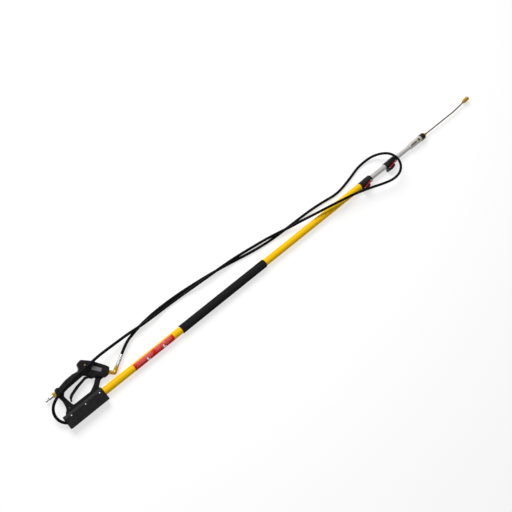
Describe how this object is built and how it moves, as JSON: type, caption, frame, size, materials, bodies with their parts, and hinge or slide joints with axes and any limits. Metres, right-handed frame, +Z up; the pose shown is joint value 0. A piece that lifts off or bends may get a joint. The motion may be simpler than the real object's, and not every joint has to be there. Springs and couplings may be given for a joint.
{
  "type": "telescoping high-pressure washing wand",
  "caption": "Telescoping washing wand lying flat: yellow pole with a foam grip, trigger gun on a bracket, looped black hose, lever clamps and a thin nozzle lance.",
  "frame": {"origin": "on the floor under the middle of the bracket at the rear end, the wand lying on its side", "axes": "+X along the pole to the nozzle, +Y from the pole to the trigger gun, +Z up from the floor"},
  "size_m": [2.9956, 0.2767, 0.0742],
  "materials": {
    "yellow_tube": "satin",
    "foam_black": "matte",
    "label_red": "matte",
    "casing_black": "satin",
    "bracket_grey": "matte",
    "plate_grey": "satin",
    "brass": "polished",
    "steel": "satin",
    "zinc": "polished",
    "aluminium": "satin",
    "hose_black": "satin",
    "lever_red": "satin",
    "clamp_black": "satin",
    "guide_white": "matte",
    "ring_tan": "matte",
    "seal_black": "matte"
  },
  "bodies": {
    "base": {"outer_tube": "yellow_tube", "foam_grip": "foam_black", "tube_label": "label_red", "bracket_shell_upper": "bracket_grey", "bracket_shell_lower": "bracket_grey", "bracket_rivets": "zinc", "bracket_spacer": "steel", "gun_shell_upper": "casing_black", "gun_shell_lower": "casing_black", "gun_screws": "steel", "gun_brass_screw": "brass", "gun_data_plate": "plate_grey", "trigger_pin": "steel", "inlet_tube": "brass", "inlet_nut": "brass", "inlet_plug": "zinc", "valve_body": "brass", "valve_plug": "brass", "outlet_nipple": "brass", "outlet_elbow": "brass", "hose_stem": "brass", "hose_ferrule": "zinc", "hose": "hose_black", "clamp_1_collar": "clamp_black", "clamp_1_pivot_screws": "zinc"},
    "trigger_body": {"trigger": "casing_black", "trigger_lock_pin": "steel"},
    "lock_body": {"trigger_lock": "casing_black"},
    "push_pin": {"valve_pin": "steel", "valve_ball": "steel", "valve_spring": "steel"},
    "middle": {"middle_tube": "aluminium", "middle_guide_bush": "guide_white", "clamp_2_collar": "clamp_black", "clamp_2_pivot_screws": "zinc"},
    "inner": {"inner_tube": "aluminium", "inner_guide_bush": "guide_white", "end_sleeve": "aluminium", "sleeve_screws": "steel", "cap_ring": "ring_tan", "end_cap": "clamp_black", "inner_hose": "hose_black", "inner_hose_ferrule": "brass", "swivel_nut": "brass", "lance_adapter": "brass", "lance_nut": "brass", "lance_tube": "steel", "coupler_body": "brass", "coupler_balls": "steel", "coupler_seal": "seal_black"},
    "coupler_slide": {"coupler_sleeve": "brass", "coupler_spring": "steel"},
    "clamp_1_lever": {"clamp_1_lever_arms": "lever_red", "clamp_1_lever_rivets": "zinc", "clamp_1_lever_handle": "clamp_black"},
    "clamp_1_pad": {"clamp_1_brake_pad": "seal_black"},
    "clamp_2_lever": {"clamp_2_lever_arms": "lever_red", "clamp_2_lever_rivets": "zinc", "clamp_2_lever_handle": "clamp_black"},
    "clamp_2_pad": {"clamp_2_brake_pad": "seal_black"}
  },
  "joints": [
    {"name": "middle_slide", "type": "slide", "parent": "base", "child": "middle", "axis": [1, 0, 0], "range_m": [-0.11, 1.26]},
    {"name": "inner_slide", "type": "slide", "parent": "middle", "child": "inner", "axis": [1, 0, 0], "range_m": [-0.11, 1.26]},
    {"name": "trigger_hinge", "type": "hinge", "parent": "base", "child": "trigger_body", "pos_m": [0.113, 0.09, 0.0225], "axis": [0, 0, -1], "range_deg": [0, 6], "stiffness_Nm_per_rad": 10, "springref_deg": -5.73},
    {"name": "lock_hinge", "type": "hinge", "parent": "trigger_body", "child": "lock_body", "pos_m": [-0.023, 0.0745, 0.0225], "axis": [0, 0, -1], "range_deg": [0, 18]},
    {"name": "push_pin_slide", "type": "slide", "parent": "base", "child": "push_pin", "axis": [0.7071, 0.7071, 0], "range_m": [0, 0.00134]},
    {"name": "coupler_slide_joint", "type": "slide", "parent": "inner", "child": "coupler_slide", "axis": [-0.9962, -0.0872, 0], "range_m": [0, 0.0045], "stiffness_N_per_m": 800, "springref_m": -0.004},
    {"name": "clamp_1_lever_hinge", "type": "hinge", "parent": "base", "child": "clamp_1_lever", "pos_m": [1.965, -0.012, 0.0225], "axis": [0, 0, 1], "range_deg": [0, 90]},
    {"name": "clamp_1_pad_slide", "type": "slide", "parent": "base", "child": "clamp_1_pad", "axis": [0, -1, 0], "range_m": [0, 0.0008]},
    {"name": "clamp_2_lever_hinge", "type": "hinge", "parent": "middle", "child": "clamp_2_lever", "pos_m": [2.171, -0.012, 0.0225], "axis": [0, 0, 1], "range_deg": [0, 90]},
    {"name": "clamp_2_pad_slide", "type": "slide", "parent": "middle", "child": "clamp_2_pad", "axis": [0, -1, 0], "range_m": [0, 0.0008]}
  ],
  "couplings": [
    {"joint": "push_pin_slide", "follows": "trigger_hinge", "m_per_rad": 0.0127},
    {"joint": "clamp_1_pad_slide", "follows": "clamp_1_lever_hinge", "m_per_rad": 0.000509},
    {"joint": "clamp_2_pad_slide", "follows": "clamp_2_lever_hinge", "m_per_rad": 0.000509}
  ]
}
